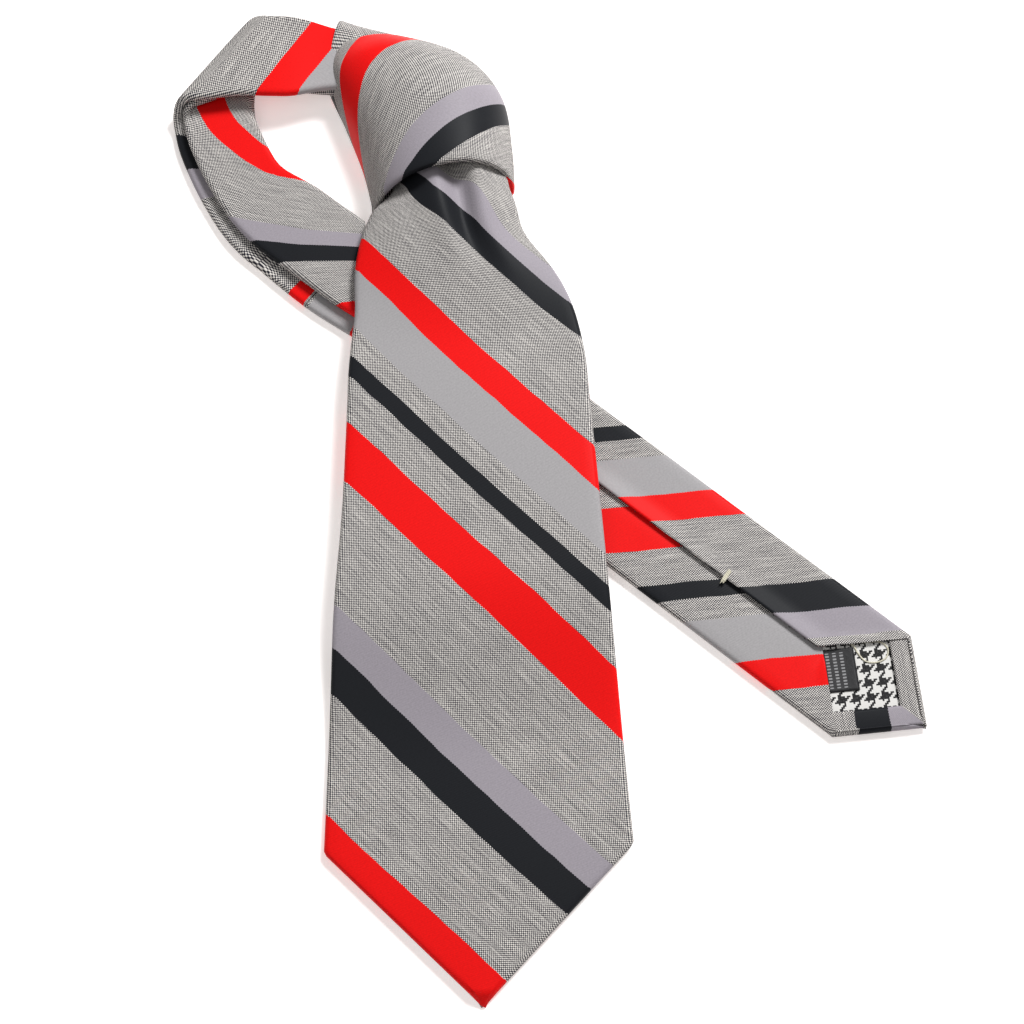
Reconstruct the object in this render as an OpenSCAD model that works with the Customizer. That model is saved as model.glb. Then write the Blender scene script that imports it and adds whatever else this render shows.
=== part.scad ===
// A knotted necktie lying flat, face up: front blade, four-in-hand knot, folded neck loop and tail.
// The layout's own datum is the tip of the front blade; place() moves it to the middle of the footprint.

/* [Front blade] */
// Width across the hips of the front blade
blade_w = 92; // [86:1:96]
// Width of the front blade where it enters the knot
throat_w = 42; // [36:1:44]
// Thickness of the front blade: two layers of cloth round the interlining
blade_t = 3.4; // [3:0.2:4]
// Height that the blade climbs to pass over the tail
blade_rise = 7.4; // [7.2:0.1:9]

/* [Tail] */
// Width across the hips of the tail
tail_w = 41; // [38:1:42]
// Angle between the tail and the X axis, below the axis
tail_angle = 41; // [40:0.5:42]
// How far the tail can be drawn on through the knot
tail_travel = 15; // [5:1:15]

/* [Neck loop] */
// Width of the neck piece
neck_w = 31; // [28:1:32]
// Thickness of one leg of the neck piece, and of the tail
strap_t = 3; // [2.8:0.1:3]

/* [Knot] */
// Height of the knot above its underside, at its lower edge
knot_h = 22; // [21:1:26]
// Growth of the knot's radius from its lower edge to its upper edge
knot_flare = 7; // [5:1:8]
// Thickness of the band round the knot
band_t = 3; // [2.6:0.1:3.2]

/* [Hidden] */
$fn = 64;

eps = 0.01;
gap = 0.3;               // clear space between neighbouring layers
skin = 0.9;              // one layer of shell cloth with its turnings
hem = 1.2;               // rolled edge of the shell beside the interlining

// Footprint of the whole tie, measured from the tip of the front blade
foot_left = -96.6;
foot_right = 138;
foot_top = 332.7;
module place() translate([-(foot_left + foot_right) / 2, -foot_top / 2, 0]) children();

function lerp(a, b, t) = a + (b - a) * t;
function smooth(t) = let (c = min(max(t, 0), 1)) c * c * (3 - 2 * c);

// ---------------------------------------------------------------- smooth routes and flat straps
// A Catmull-Rom curve through hand-chosen points, so that a strap turns without corners.
function pt(p, i) = p[min(max(i, 0), len(p) - 1)];
function spline(p, i, t) =
    0.5 * (2 * pt(p, i) + (pt(p, i + 1) - pt(p, i - 1)) * t
    + (2 * pt(p, i - 1) - 5 * pt(p, i) + 4 * pt(p, i + 1) - pt(p, i + 2)) * t * t
    + (3 * pt(p, i) - pt(p, i - 1) - 3 * pt(p, i + 1) + pt(p, i + 2)) * t * t * t);
function route(p, n) =
    [for (i = [0 : len(p) - 2]) for (k = [0 : n - 1]) spline(p, i, k / n), p[len(p) - 1]];
function heading(r, i) =
    let (d = pt(r, i + 1) - pt(r, i - 1)) d / norm(d);
function side_of(r, i, w) = let (d = heading(r, i)) r[i] + [-d[1], d[0]] * w;
function outline(r, w0, w1) =
    let (n = len(r) - 1)
    concat([for (i = [0 : n]) side_of(r, i, lerp(w0, w1, i / n) / 2)],
           [for (i = [n : -1 : 0]) side_of(r, i, -lerp(w0, w1, i / n) / 2)]);
module strap(r, w0, w1, z, t) translate([0, 0, z]) linear_extrude(t) polygon(outline(r, w0, w1));

// A length of flat tie: the shell is a tube of cloth with its slip-stitched seam along one face.
module strap_shell(r, w0, w1, z, seam_up) difference() {
    strap(r, w0, w1, z, strap_t);
    union() {
        strap(r, w0 - 2 * hem, w1 - 2 * hem, z + skin, strap_t - 2 * skin);
        strap(r, 0.6, 0.6, seam_up ? z + strap_t - skin - 0.3 : z - 1, skin + 1.3);
    }
}
module strap_filling(r, w0, w1, z)
    strap(r, w0 - 2 * hem - 0.6, w1 - 2 * hem - 0.6, z + skin + 0.1, strap_t - 2 * skin - 0.2);

// ---------------------------------------------------------------- front blade
mouth_y = 262;                    // lower edge of the knot
hinge_y = 252;                    // line on which the front blade lifts
shoulder_y = 190;                 // where the blade starts to gather towards the knot
shoulder_w = blade_w * 0.85;
function blade_half(y) =
    y < blade_w / 2 ? y
    : y < shoulder_y ? lerp(blade_w, shoulder_w, (y - blade_w / 2) / (shoulder_y - blade_w / 2)) / 2
    : lerp(shoulder_w, throat_w, pow((y - shoulder_y) / (mouth_y - shoulder_y), 1.9)) / 2;
// The gathered top of the blade leans a little to the left under the knot
function lean(y) = -3.5 * smooth((y - 215) / 35);
blade_ys = [0, blade_w / 2, for (i = [0 : 8]) lerp(shoulder_y, hinge_y, i / 8)];
module blade_plan(inset = 0) offset(delta = -inset) polygon(concat(
    [for (y = blade_ys) [lean(y) + blade_half(y), y]],
    [for (i = [len(blade_ys) - 1 : -1 : 1]) [lean(blade_ys[i]) - blade_half(blade_ys[i]), blade_ys[i]]]));

// Height of the blade's underside: flat on the table at the tip, then up over the tail
ramp_start = 72;
ramp_run = 60;
function under(y) = blade_rise * smooth((y - ramp_start) / ramp_run);
profile_ys = [-1, 40, for (i = [0 : 12]) lerp(ramp_start, ramp_start + ramp_run, i / 12), mouth_y];
module blade_layer(z0, z1) rotate([90, 0, 90]) translate([0, 0, -60]) linear_extrude(120) polygon(concat(
    [for (y = profile_ys) [y, under(y) + z0]],
    [for (i = [len(profile_ys) - 1 : -1 : 0]) [profile_ys[i], under(profile_ys[i]) + z1]]));
module blade_part(z0, z1) intersection() {
    blade_layer(z0, z1);
    translate([0, 0, -5]) linear_extrude(60) children();
}

// Opening of the back flaps over the tip: a diamond between the flaps' ends and the turned hem
front_seam_y = 88;
front_hem_w = 14;
tail_seam_y = 39;
tail_hem_w = 9;
module back_opening(seam_y, hem_w, grow = 0) offset(delta = grow)
    polygon([[0, seam_y],
             [(seam_y - hem_w * sqrt(2)) / 2, (seam_y + hem_w * sqrt(2)) / 2],
             [0, hem_w * sqrt(2)],
             [-(seam_y - hem_w * sqrt(2)) / 2, (seam_y + hem_w * sqrt(2)) / 2]]);

module front_blade_shell() place() color("gray") difference() {
    blade_part(0, blade_t) blade_plan();
    blade_part(skin, blade_t - skin) blade_plan(hem);
    blade_part(-0.1, skin + eps) back_opening(front_seam_y, front_hem_w);
    blade_part(-0.1, skin + eps) translate([-0.3, front_seam_y - 1]) square([0.6, 200]);
}
module front_blade_interlining() place() color("ivory")
    blade_part(skin + 0.5, blade_t - skin - 0.1) difference() {
        blade_plan(hem + 0.4);
        translate([-60, -1]) square([120, 9]);
    }
module front_blade_tipping() place() color("dimgray")
    blade_part(skin + 0.05, skin + 0.4) intersection() {
        back_opening(front_seam_y, front_hem_w, 4);
        blade_plan(hem + 0.3);
    }

// The keeper is a loop of shell cloth, tacked to the back of the blade at its two ends
keeper_y = 160;
keeper_w = 12;
keeper_span = 48;
module keeper_loop() place() color("gray") difference() {
    translate([-keeper_span / 2 - 4, keeper_y, blade_rise - 0.9])
        cube([keeper_span + 8, keeper_w, 0.9 - eps]);
    translate([-keeper_span / 2, keeper_y - 1, blade_rise - 0.5])
        cube([keeper_span, keeper_w + 2, 1]);
}
// Blank woven label, sewn below the keeper loop
module main_label() place() color("black")
    translate([-21, 141, blade_rise - 0.45]) cube([42, 16, 0.45 - eps]);
module front_bar_tack() place() color("ivory")
    blade_part(-0.35, -eps) translate([0, front_seam_y + 3]) rotate(45) square([6, 1], center = true);
// Row of hand stitches that holds the blade's hem to its tipping
module blade_hem_stitching() place() color("ivory")
    blade_part(0.55, skin) for (side = [-1, 1], i = [0 : 6])
        translate([side * (5 + 4 * i), front_hem_w * sqrt(2) + 5.4 + 4 * i])
            rotate(side * 45) square([1.8, 0.5], center = true);

// ---------------------------------------------------------------- tail
tail_tip = [foot_right, 77];
tail_axis_x = -3;                          // the strap comes out of the knot on this line
tail_run = (tail_tip[0] - tail_axis_x) / cos(tail_angle);
turn_y = tail_tip[1] + tail_run * sin(tail_angle);
fold_angle = (90 + tail_angle) / 2;        // the diagonal fold, below the X axis
module tail_frame() translate(tail_tip) rotate(90 - tail_angle) children();
module tail_plan(inset = 0) offset(delta = -inset) polygon([
    [0, 0], [tail_w / 2, tail_w / 2],
    [tail_w / 2, tail_run + tail_w / 2 * tan(fold_angle)],
    [-tail_w / 2, tail_run - tail_w / 2 * tan(fold_angle)],
    [-tail_w / 2, tail_w / 2]]);
module tail_layer(z0, z1) tail_frame() translate([0, 0, z0]) linear_extrude(z1 - z0) children();
tail_skin_z = strap_t - skin;

module tail_shell() place() color("gray") difference() {
    tail_layer(0, strap_t) tail_plan();
    tail_layer(skin, tail_skin_z) tail_plan(hem);
    tail_layer(tail_skin_z - eps, strap_t + 1) back_opening(tail_seam_y, tail_hem_w);
    tail_layer(tail_skin_z - eps, strap_t + 1) translate([-0.3, tail_seam_y - 1])
        square([0.6, tail_run * 0.9 - tail_seam_y]);
}
module tail_interlining() place() color("ivory")
    tail_layer(skin + 0.1, tail_skin_z - 0.6) difference() {
        tail_plan(hem + 0.4);
        translate([-30, -1]) square([60, 7]);
    }
module tail_tipping() place() color("white")
    tail_layer(tail_skin_z - 0.5, tail_skin_z - 0.1) intersection() {
        back_opening(tail_seam_y, tail_hem_w, 3);
        tail_plan(hem + 0.3);
    }
// Blank woven care label, tucked under the end of the flap
label_at = [-1.5, 36];
module tail_label() place() color("black")
    tail_layer(tail_skin_z, tail_skin_z + 0.35) translate(label_at) rotate(-135) square([11, 7.5]);
module tail_bar_tack() place() color("ivory")
    tail_layer(strap_t, strap_t + 0.5) translate([0, 76]) rotate(-45) square([5, 0.9], center = true);
// Slip stitches that close the seam down the back of the tail
stitch_pitch = 6;
module tail_slip_stitching() place() color("ivory")
    tail_layer(strap_t - 0.4, strap_t - 0.1)
        for (y = [tail_seam_y + 6 : stitch_pitch : tail_run * 0.85])
            translate([0, y]) square([0.58, 1.6], center = true);

// Loose end of the slip-stitch thread: a loop over the tipping, tucked under the flap at both ends.
// Points are in the tail's own frame, from its tip.
thread_d = 0.5;
thread_z = tail_skin_z - 0.1 + thread_d / 2 + 0.02;
thread_points = [
    [4.5, 38], [6, 35.4], [6.6, 32.6], [5.4, 29.6], [5, 26.4], [7, 23.6],
    [10, 22.4], [12.6, 23.8], [12.8, 26.6], [11, 29], [8.8, 31.4], [8.4, 34]
];
thread_route = route([for (p = thread_points) [p[0], p[1], thread_z]], 3);
function ring(r, i, d, sides) =
    let (a = heading(r, i), s = [-a[1], a[0], 0] / norm([a[0], a[1]]))
    [for (k = [0 : sides - 1]) r[i] + s * d / 2 * cos(360 * k / sides) + [0, 0, 1] * d / 2 * sin(360 * k / sides)];
module tube(r, d, sides) polyhedron(
    [for (i = [0 : len(r) - 1]) for (p = ring(r, i, d, sides)) p],
    concat([[for (k = [0 : sides - 1]) k]],
        [for (i = [0 : len(r) - 2]) for (k = [0 : sides - 1])
            let (m = (k + 1) % sides)
            [i * sides + k, (i + 1) * sides + k, (i + 1) * sides + m, i * sides + m]],
        [[for (k = [sides - 1 : -1 : 0]) (len(r) - 1) * sides + k]]));
module tail_loose_thread() place() color("ivory") tail_frame() tube(thread_route, thread_d, 8);

// The strap between the knot and the diagonal turn lies over the start of the tail
strap_z = strap_t + gap;
pivot = [tail_axis_x, mouth_y];
pivot_r = 17;
module fold_side(keep = 1) translate([tail_axis_x, turn_y]) rotate(-fold_angle)
    translate([-150, keep > 0 ? 0 : -300]) square([300, 300]);
module strap_plan(inset = 0) offset(delta = -inset) intersection() {
    union() {
        translate(pivot) circle(pivot_r);
        polygon([[tail_axis_x - pivot_r, mouth_y], [tail_axis_x + pivot_r, mouth_y],
                 [tail_axis_x + tail_w / 2, turn_y + 30], [tail_axis_x + tail_w / 2, 120],
                 [tail_axis_x - tail_w / 2, 120], [tail_axis_x - tail_w / 2, turn_y + 30]]);
    }
    fold_side();
}
module tail_strap() place() color("gray") difference() {
    translate([0, 0, strap_z]) linear_extrude(strap_t) strap_plan();
    translate([0, 0, strap_z + skin]) linear_extrude(strap_t - 2 * skin) strap_plan(hem);
}
module tail_strap_interlining() place() color("ivory")
    translate([0, 0, strap_z + skin + 0.1]) linear_extrude(strap_t - 2 * skin - 0.2) strap_plan(hem + 0.4);
// Rounded ridge of the diagonal turn, joining the two layers
turn_len = tail_w / sin(90 - fold_angle);
turn_r = strap_t + gap / 2;
module half_round(length, r_out, r_in) rotate([90, 0, 90]) difference() {
    intersection() {
        cylinder(h = length, r = r_out, center = true);
        translate([-2 * r_out, 0, 0]) cube([4 * r_out, 4 * r_out, length + 1], center = true);
        translate([-2 * r_out, -2 * r_out, -length]) cube([2 * r_out, 4 * r_out, 2 * length]);
    }
    if (r_in > 0) cylinder(h = length + 1, r = r_in, center = true);
}
module tail_turn() place() color("gray")
    translate([tail_axis_x, turn_y, strap_t + gap / 2]) rotate(-fold_angle)
        translate([0, -eps, 0]) half_round(turn_len - 5, turn_r, gap / 2);

// Stretch of the strap inside the knot, ending in a hollow that lets the tail swing
module tail_in_knot() place() color("gray") translate([0, 0, strap_z]) linear_extrude(strap_t) difference() {
    translate([tail_axis_x - 13, mouth_y]) square([26, 42]);
    translate(pivot) circle(pivot_r + 0.4);
}

// ---------------------------------------------------------------- neck loop
// Two legs back to back: the outer leg leaves the knot's front, the inner one enters its back.
fold_line = [-91, 300];                    // lower end of the left turn's ridge
ridge_angle = 52;
layer = strap_t + 0.2;
upper_route = route([[-43.6, 315.5], [-62, 317], [-100, 319]], 4);
lower_route = route([[-87, 340], [-81, 312], [-76, 290], [-64, 266], [-45, 246], [-22, 226]], 3);
outer_route = route([[-90, 340], [-83, 310], [-79, 288], [-67, 263], [-47, 242], [-22, 221]], 3);
loop_end_x = -29.5;
module ridge_side(right) translate(fold_line) rotate(ridge_angle)
    translate([-100, right ? -300 : 0]) square([300, 300]);
module upper_leg(z, seam_up) intersection() {
    strap_shell(upper_route, neck_w, neck_w, z, seam_up);
    translate([0, 0, z - 1]) linear_extrude(strap_t + 2) ridge_side(true);
}
module lower_leg(r, w, z, seam_up) intersection() {
    strap_shell(r, w, w + 2, z, seam_up);
    translate([0, 0, z - 1]) linear_extrude(strap_t + 2) difference() {
        ridge_side(true);
        translate([loop_end_x, 0]) square([300, 400]);
    }
}
module neck_upper_outer_leg() place() color("gray") upper_leg(3 * layer, false);
module neck_upper_inner_leg() place() color("gray") upper_leg(2 * layer, true);
module neck_lower_inner_leg() place() color("gray") lower_leg(lower_route, neck_w, layer, false);
module neck_lower_outer_leg() place() color("gray") lower_leg(outer_route, neck_w, 0, true);
ridge_len = neck_w / sin(ridge_angle);
module at_ridge(shift = 0) translate([fold_line[0], fold_line[1], 2 * layer - 0.1]) rotate(ridge_angle)
    translate([ridge_len / 2 - 2 + shift, eps, 0]) mirror([0, 1, 0]) children();
module neck_turn_outer() place() color("dimgray") intersection() {
    at_ridge() half_round(ridge_len - 2, 2 * layer - 0.1, layer + 0.1);
    translate([-300, 0, 0]) cube([600, 600, 60]);
}
module neck_turn_inner() place() color("gray") at_ridge() half_round(ridge_len - 2, layer - 0.1, 0.1);
// Fold at the middle of the neck, where one leg becomes the other
module neck_end_fold() place() color("gray")
    translate([loop_end_x + eps, 225, layer - 0.1]) rotate(90)
        half_round(30, layer - 0.1, 0.1);
module neck_interlinings() place() color("ivory") {
    for (z = [3 * layer, 2 * layer]) intersection() {
        strap_filling(upper_route, neck_w, neck_w, z);
        translate([0, 0, z - 1]) linear_extrude(strap_t + 2) ridge_side(true);
    }
    for (leg = [[lower_route, layer], [outer_route, 0]]) intersection() {
        strap_filling(leg[0], neck_w, neck_w + 2, leg[1]);
        translate([0, 0, leg[1] - 1]) linear_extrude(strap_t + 2) difference() {
            ridge_side(true);
            translate([loop_end_x, 0]) square([300, 400]);
        }
    }
}
// Bias seam that joins the neck piece to the tail piece: machine stitches across the inner leg
module neck_joining_seam() place() color("black")
    for (i = [0 : 7]) translate([-58 + 1.9 * i, 307 + 1.9 * i, 2 * layer - 0.3])
        rotate(45) cube([1.4, 0.4, 0.29]);

// ---------------------------------------------------------------- knot
// The band is a cone that widens away from the blade; its two ends are cut to the knot's slanted edges.
knot_low = [-3, 250];
knot_high = [-14, 326];
knot_axis_z = -2;
knot_r = knot_h - knot_axis_z;
knot_run = norm(knot_high - knot_low);
knot_turn = atan2(knot_high[1] - knot_low[1], knot_high[0] - knot_low[0]);
module knot_cone(inset) translate([knot_low[0], knot_low[1], knot_axis_z]) rotate(knot_turn)
    rotate([0, 90, 0]) cylinder(h = knot_run, r1 = knot_r - inset, r2 = knot_r + knot_flare - inset);
knot_edge = [[-40, 250], [-25, 255], [-14, 262], [8, 266], [19, 258], [40, 250],
             [40, 290], [14, 297], [7, 305], [-6, 313], [-18, 317], [-38, 322], [-60, 322]];
module knot_plan(grow) offset(delta = grow) polygon(
    [[-25, 255], [-14, 262], [8, 266], [19, 258], [19.5, 280], [14, 297], [7, 305],
     [-6, 313], [-18, 317], [-38, 322], [-43, 300], [-34, 276]]);
module above(z) translate([-200, 0, z]) cube([400, 500, 100]);
module knot_front_band() place() color("gray") difference() {
    intersection() {
        knot_cone(0);
        translate([0, 0, -1]) linear_extrude(60) polygon(knot_edge);
        above(strap_t + 0.1);
    }
    knot_cone(band_t);
}
module knot_back_band() place() color("gray") linear_extrude(strap_t) knot_plan(-1.5);
// The front blade's gathered top, passing under the band, with its dimple
throat_z = strap_z + strap_t + gap;
module knot_throat() place() color("gray") difference() {
    intersection() {
        knot_cone(band_t + 0.3);
        translate([-60, hinge_y + gap, throat_z + 0.2]) cube([120, 80, 60]);
        translate([0, 0, throat_z]) linear_extrude(60) polygon(
            [[-26, hinge_y], [18, hinge_y], [16, 278], [11, 296], [-6, 311], [-20, 315.5],
             [-36, 319], [-39.5, 300], [-30, 276]]);
        union() {
            translate([-60, hinge_y, 0]) cube([120, 14, blade_rise + blade_t]);
            translate([-60, hinge_y + 8, 0]) cube([120, 60, 60]);
        }
    }
    translate([-6, hinge_y + 3, knot_h - 1]) rotate([-90, 0, -8]) cylinder(h = 26, r = 4);
}
// Crumpled layer of the first wrap, showing behind the knot's upper left corner
module knot_top_fold() place() color("gray") translate([0, 0, strap_t + 0.1]) linear_extrude(9) difference() {
    polygon([[-37, 331], [-22, 324], [-6, 315.5], [-6, 314], [-18, 318], [-37.5, 322.8]]);
    knot_plan(0.3);
}

front_blade_shell();
front_blade_interlining();
front_blade_tipping();
front_bar_tack();
keeper_loop();
main_label();
blade_hem_stitching();
tail_shell();
tail_interlining();
tail_tipping();
tail_label();
tail_bar_tack();
tail_slip_stitching();
tail_loose_thread();
tail_turn();
tail_strap();
tail_strap_interlining();
tail_in_knot();
neck_upper_outer_leg();
neck_upper_inner_leg();
neck_lower_outer_leg();
neck_lower_inner_leg();
neck_turn_outer();
neck_turn_inner();
neck_end_fold();
neck_interlinings();
neck_joining_seam();
knot_front_band();
knot_back_band();
knot_throat();
knot_top_fold();
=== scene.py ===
import math

import bmesh
import bpy
from mathutils import Matrix, Vector, noise


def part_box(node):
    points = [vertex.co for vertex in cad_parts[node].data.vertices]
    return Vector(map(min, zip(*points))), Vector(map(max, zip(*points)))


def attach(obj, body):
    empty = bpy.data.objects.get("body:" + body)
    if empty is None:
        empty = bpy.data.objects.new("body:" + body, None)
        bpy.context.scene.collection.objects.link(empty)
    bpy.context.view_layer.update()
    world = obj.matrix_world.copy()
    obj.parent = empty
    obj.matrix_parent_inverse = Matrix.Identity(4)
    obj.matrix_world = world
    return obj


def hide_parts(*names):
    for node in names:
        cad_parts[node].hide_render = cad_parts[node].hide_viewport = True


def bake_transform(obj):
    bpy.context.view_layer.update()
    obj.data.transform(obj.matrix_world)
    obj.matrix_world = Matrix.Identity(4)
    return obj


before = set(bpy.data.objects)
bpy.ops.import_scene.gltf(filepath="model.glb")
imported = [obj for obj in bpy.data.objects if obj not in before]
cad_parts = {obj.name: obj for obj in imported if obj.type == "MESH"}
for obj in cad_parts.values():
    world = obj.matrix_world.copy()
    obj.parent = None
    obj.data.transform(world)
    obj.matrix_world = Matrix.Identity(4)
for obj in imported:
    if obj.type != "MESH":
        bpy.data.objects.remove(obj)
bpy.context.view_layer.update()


# ---- Camera and layout
# The tie is laid out in millimetres from the point of its front blade, with +Y towards the knot.
# The camera stands above the foot of the blade and looks down at about seventy degrees.
MM = 0.001
label_lo, label_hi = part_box("main_label")
blade_lo, blade_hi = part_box("front_blade_shell")
point_of_blade = Vector(((label_lo[0] + label_hi[0]) / 2, blade_lo[1], 0))


def at(x, y, z):
    """Row-frame position, in metres, of a point of the layout in millimetres."""
    return point_of_blade + Vector((x, y, z)) * MM


camera_data = bpy.data.cameras.new("camera")
camera_data.sensor_width = 36
camera_data.lens = 70.3
camera_data.clip_end = 20
camera = bpy.data.objects.new("camera", camera_data)
camera.location = at(7.4, -65.5, 592.6)
camera.rotation_euler = (math.radians(20.1), 0, math.radians(-1.92))
bpy.context.scene.collection.objects.link(camera)
bpy.context.scene.camera = camera


# ---- Loose end of the slip-stitch thread
# A silk thread runs free under the tail's seam so that the tie can stretch.
# Its spare end makes a small loop over the tipping, and both ends go back under the flap.
TAIL_TIP = (138, 77)
TAIL_ANGLE = 41
TAIL_W = 41
thread_d = 0.5
thread_z = 2.27
thread_points = [
    (4.5, 38), (6, 35.4), (6.6, 32.6), (5.4, 29.6), (5, 26.4), (7, 23.6),
    (10, 22.4), (12.6, 23.8), (12.8, 26.6), (11, 29), (8.8, 31.4), (8.4, 34),
]


def smooth_route(points, steps):
    """Catmull-Rom curve through the points, with so many steps between each two."""
    last = len(points) - 1
    knots = [Vector(points[max(0, min(i, last))]) for i in range(-1, last + 3)]
    route = []
    for i in range(last):
        a, b, c, d = knots[i:i + 4]
        for k in range(steps):
            f = k / steps
            route.append(0.5 * (2 * b + (c - a) * f + (2 * a - 5 * b + 4 * c - d) * f ** 2
                                + (3 * b - a - 3 * c + d) * f ** 3))
    return route + [knots[last + 1]]


def tail_to_layout(x, y):
    """Layout point of a point of the tail's own frame, from its tip and along its length."""
    turn = math.radians(90 - TAIL_ANGLE)
    return (TAIL_TIP[0] + x * math.cos(turn) - y * math.sin(turn),
            TAIL_TIP[1] + x * math.sin(turn) + y * math.cos(turn))


def thread_material(name, colour, pale):
    """Twisted sewing thread: fine slanted strands, a little sheen and uneven dye."""
    material = bpy.data.materials.new(name)
    material.use_nodes = True
    nodes = material.node_tree.nodes
    links = material.node_tree.links
    shader = nodes["Principled BSDF"]
    shader.inputs["Roughness"].default_value = 0.55
    shader.inputs["Sheen Weight"].default_value = 0.3
    place = nodes.new("ShaderNodeTexCoord")
    strands = nodes.new("ShaderNodeTexWave")
    strands.bands_direction = "DIAGONAL"
    strands.inputs["Scale"].default_value = 900
    strands.inputs["Distortion"].default_value = 1.5
    dye = nodes.new("ShaderNodeTexNoise")
    dye.inputs["Scale"].default_value = 420
    blend = nodes.new("ShaderNodeMix")
    blend.data_type = "RGBA"
    blend.inputs[6].default_value = (*colour, 1)
    blend.inputs[7].default_value = (*pale, 1)
    bump = nodes.new("ShaderNodeBump")
    bump.inputs["Strength"].default_value = 0.6
    bump.inputs["Distance"].default_value = 0.0001
    links.new(place.outputs["Object"], strands.inputs["Vector"])
    links.new(place.outputs["Object"], dye.inputs["Vector"])
    links.new(dye.outputs["Fac"], blend.inputs[0])
    links.new(blend.outputs[2], shader.inputs["Base Color"])
    links.new(strands.outputs["Fac"], bump.inputs["Height"])
    links.new(bump.outputs["Normal"], shader.inputs["Normal"])
    return material


ivory_thread = thread_material("ivory_thread", (0.46, 0.43, 0.32), (0.66, 0.63, 0.5))
dark_thread = thread_material("dark_thread", (0.012, 0.012, 0.014), (0.03, 0.03, 0.034))

loop_route = [at(*tail_to_layout(p[0], p[1]), thread_z) for p in smooth_route(thread_points, 4)]
loop_curve = bpy.data.curves.new("tail_thread_loop", "CURVE")
loop_curve.dimensions = "3D"
loop_curve.bevel_depth = thread_d / 2 * MM
loop_curve.bevel_resolution = 3
loop_curve.use_fill_caps = True
loop_spline = loop_curve.splines.new("POLY")
loop_spline.points.add(len(loop_route) - 1)
for spot, point in zip(loop_spline.points, loop_route):
    spot.co = (*point, 1)
loop_curve.materials.append(ivory_thread)
thread_loop = bpy.data.objects.new("tail_thread_loop", loop_curve)
bpy.context.scene.collection.objects.link(thread_loop)
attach(thread_loop, "tail")
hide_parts("tail_loose_thread")


# ---- Floor and light
# The tie lies on a plain white table top under broad soft light from above.
floor_mesh = bpy.data.meshes.new("floor")
bm = bmesh.new()
bmesh.ops.create_grid(bm, x_segments=1, y_segments=1, size=2.5)
bmesh.ops.translate(bm, verts=bm.verts, vec=(0, 0, -0.0003))
bm.to_mesh(floor_mesh)
bm.free()
floor = bpy.data.objects.new("floor", floor_mesh)
bpy.context.scene.collection.objects.link(floor)
floor_paint = bpy.data.materials.new("floor")
floor_paint.use_nodes = True
floor_shader = floor_paint.node_tree.nodes["Principled BSDF"]
floor_shader.inputs["Base Color"].default_value = (0.93, 0.915, 0.91, 1)
floor_shader.inputs["Roughness"].default_value = 0.9
floor_shader.inputs["Emission Color"].default_value = (1, 0.93, 0.9, 1)
floor_shader.inputs["Emission Strength"].default_value = 0.4
floor_shader.inputs["Specular IOR Level"].default_value = 0.1
floor_mesh.materials.append(floor_paint)

world = bpy.data.worlds.new("studio")
world.use_nodes = True
world.node_tree.nodes["Background"].inputs["Color"].default_value = (1, 0.99, 0.98, 1)
world.node_tree.nodes["Background"].inputs["Strength"].default_value = 0.3
bpy.context.scene.world = world
bpy.context.scene.view_settings.view_transform = "Standard"


def soft_box(name, place, size, power, aim):
    """A large square lamp at place, turned to face aim."""
    lamp_data = bpy.data.lights.new(name, "AREA")
    lamp_data.size = size
    lamp_data.energy = power
    lamp = bpy.data.objects.new(name, lamp_data)
    lamp.location = place
    lamp.rotation_euler = (Vector(aim) - Vector(place)).to_track_quat("-Z", "Y").to_euler()
    bpy.context.scene.collection.objects.link(lamp)


soft_box("overhead", (0.62, 0.85, 1.1), 0.45, 30, (0, 0.05, 0))
soft_box("fill", (-0.5, -0.5, 1.4), 1.0, 3.5, (0, 0, 0))


# ---- Front blade
# Silk jacquard cut on the bias, grey basket weave with satin stripes that run from the left
# down to the right, folded round a wool interlining and slip-stitched down the back. Its top gathers
# into a dimple and goes up under the knot.
STRIPE_REPEAT = 199
STRIPES = [
    (0, "red"), (12, "tweed"), (49.5, "charcoal"), (64, "lilac"), (78.5, "tweed"), (121.5, "red"),
    (143, "tweed"), (159, "charcoal"), (167, "tweed"), (177, "silver"), (197, "red"),
]
SATINS = {
    "red": (0.70, 0.006, 0.006),
    "charcoal": (0.0125, 0.0135, 0.016),
    "lilac": (0.285, 0.262, 0.292),
    "silver": (0.315, 0.305, 0.312),
    "tweed": (0.3, 0.3, 0.3),
}


def sum_nodes(tree):
    """Small maker of math nodes: do("MULTIPLY", a, b) links or sets each operand."""
    def do(operation, *values):
        node = tree.nodes.new("ShaderNodeMath")
        node.operation = operation
        for socket, value in zip(node.inputs, values):
            if isinstance(value, (int, float)):
                socket.default_value = value
            else:
                tree.links.new(value, socket)
        return node.outputs[0]
    return do


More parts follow.
